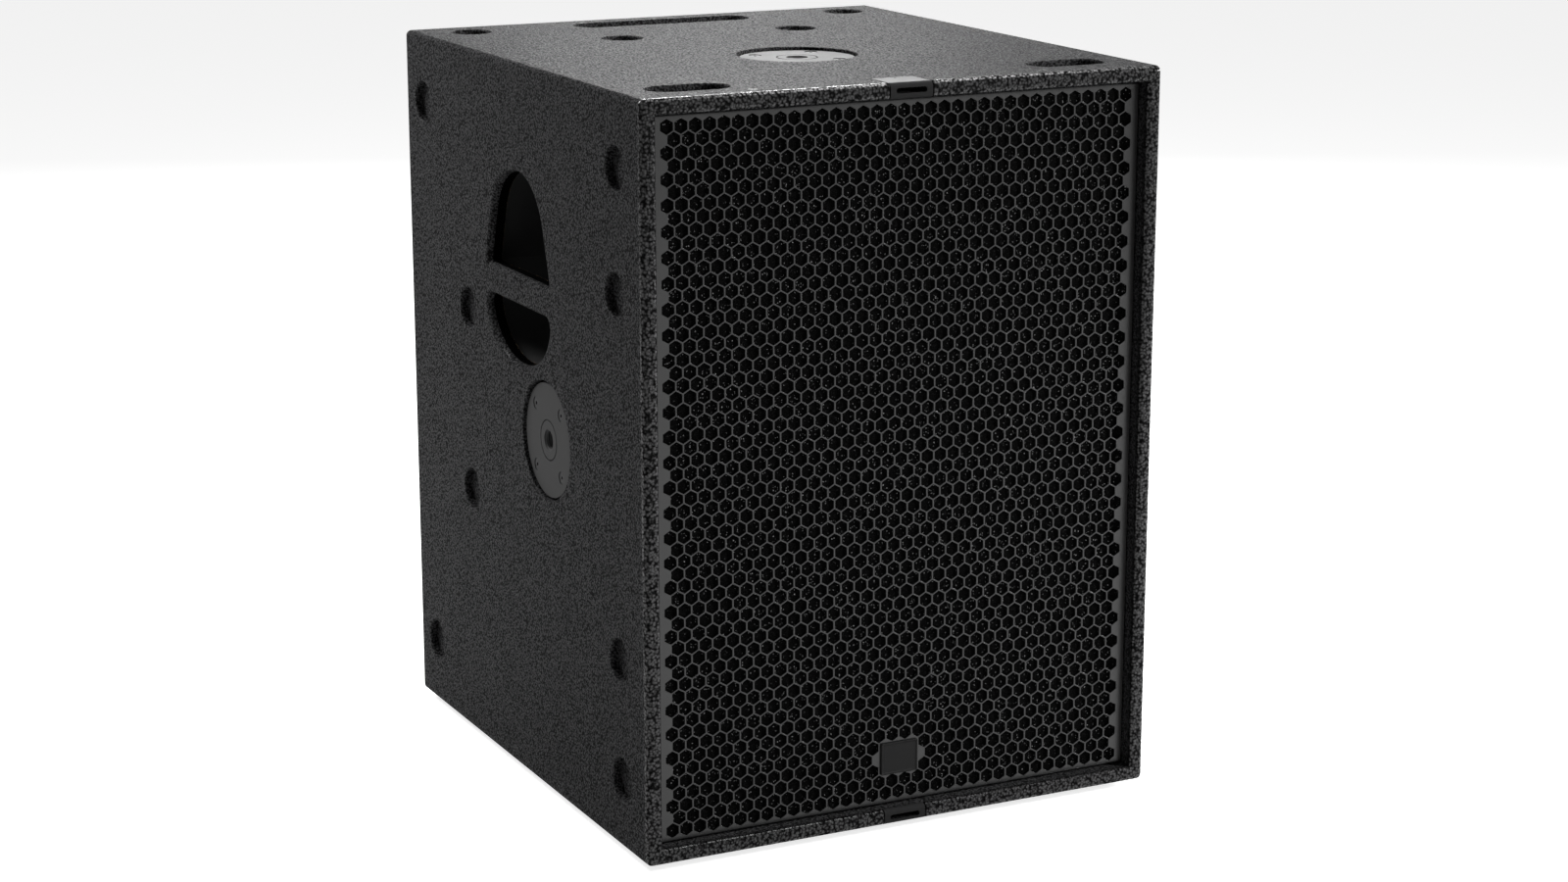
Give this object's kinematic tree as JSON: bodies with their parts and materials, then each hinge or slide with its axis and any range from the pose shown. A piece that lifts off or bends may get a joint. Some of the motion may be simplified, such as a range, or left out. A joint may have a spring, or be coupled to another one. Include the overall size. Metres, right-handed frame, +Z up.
{
  "type": "subwoofer cabinet",
  "caption": "Passive bass loudspeaker cabinet with a perforated grille, a moving-cone driver and slot port behind it, side handles, stacking feet and threaded pole flanges.",
  "frame": {"origin": "middle of the footprint on the floor, side feet included", "axes": "+Z up, -Y out of the grille, +X towards the side with the side feet"},
  "size_m": [0.538, 0.585, 0.708],
  "materials": {
    "cabinet_paint": "birch plywood with structured black paint",
    "raw_plywood": "birch plywood",
    "grille_coat": "black powder coat",
    "foam": "open-cell foam",
    "fleece": "polyester fleece",
    "flange_coat": "satin grey coat",
    "catch_steel": "satin black steel",
    "black_screw": "black zinc",
    "zinc_steel": "bright zinc",
    "foot_rubber": "matt rubber",
    "cup_plastic": "moulded black",
    "badge": "satin black plate",
    "basket_cast": "black coated casting",
    "ferrite": "ground ferrite",
    "motor_steel": "zinc plated",
    "cone_paper": "coated paper",
    "surround_cloth": "doped cloth",
    "spider_cloth": "resin cloth",
    "former": "polyimide",
    "copper": "enamelled copper",
    "braid": "tinned braid",
    "seal_foam": "cell rubber",
    "terminal_plastic": "moulded black",
    "dish_coat": "black powder coat",
    "socket_plastic": "moulded",
    "cable_jacket": "black jacket"
  },
  "bodies": {
    "cabinet": {"badge_plate": "badge", "badge_push_nuts": "zinc_steel", "baffle_battens": "raw_plywood", "bottom_panel": "cabinet_paint", "cable_clip_screws": "black_screw", "cable_clips": "terminal_plastic", "cable_plug": "terminal_plastic", "catch_plate_bottom": "catch_steel", "catch_plate_screws": "black_screw", "catch_plate_top": "catch_steel", "damping_fleece": "fleece", "dish_screws": "black_screw", "dish_seal": "seal_foam", "driver_basket": "basket_cast", "driver_bolts": "black_screw", "driver_front_seal": "seal_foam", "driver_rear_seal": "seal_foam", "driver_tee_nuts": "zinc_steel", "ferrite_magnet": "ferrite", "foot_screws": "black_screw", "foot_washers": "zinc_steel", "front_baffle": "raw_plywood", "grille": "grille_coat", "grille_foam": "foam", "grille_inserts": "zinc_steel", "grille_screws": "black_screw", "handle_cup_left": "cup_plastic", "handle_cup_right": "cup_plastic", "handle_cup_screws": "black_screw", "left_side_panel": "cabinet_paint", "motor_screws": "zinc_steel", "motor_top_plate": "motor_steel", "pole_flange_screws": "black_screw", "pole_flange_side": "flange_coat", "pole_flange_tee_nuts": "zinc_steel", "pole_flange_top": "flange_coat", "pole_piece": "motor_steel", "port_fins": "raw_plywood", "port_shelf": "raw_plywood", "rear_panel": "cabinet_paint", "right_side_panel": "cabinet_paint", "rubber_feet_bottom": "foot_rubber", "rubber_feet_side": "foot_rubber", "socket_screws": "black_screw", "speaker_cable": "cable_jacket", "speaker_sockets": "socket_plastic", "spider": "spider_cloth", "surround": "surround_cloth", "terminal_block": "terminal_plastic", "terminal_dish": "dish_coat", "tinsel_leads": "braid", "top_panel": "cabinet_paint", "window_brace": "raw_plywood"},
    "moving_assembly": {"cone": "cone_paper", "dust_cap": "cone_paper", "voice_coil_former": "former", "voice_coil_winding": "copper"}
  },
  "joints": [
    {"name": "cone_stroke", "type": "slide", "parent": "cabinet", "child": "moving_assembly", "axis": [0, -1, 0], "range_m": [-0.01, 0.01], "stiffness_N_per_m": 7000, "deforming": ["surround", "spider", "tinsel_leads"]}
  ]
}
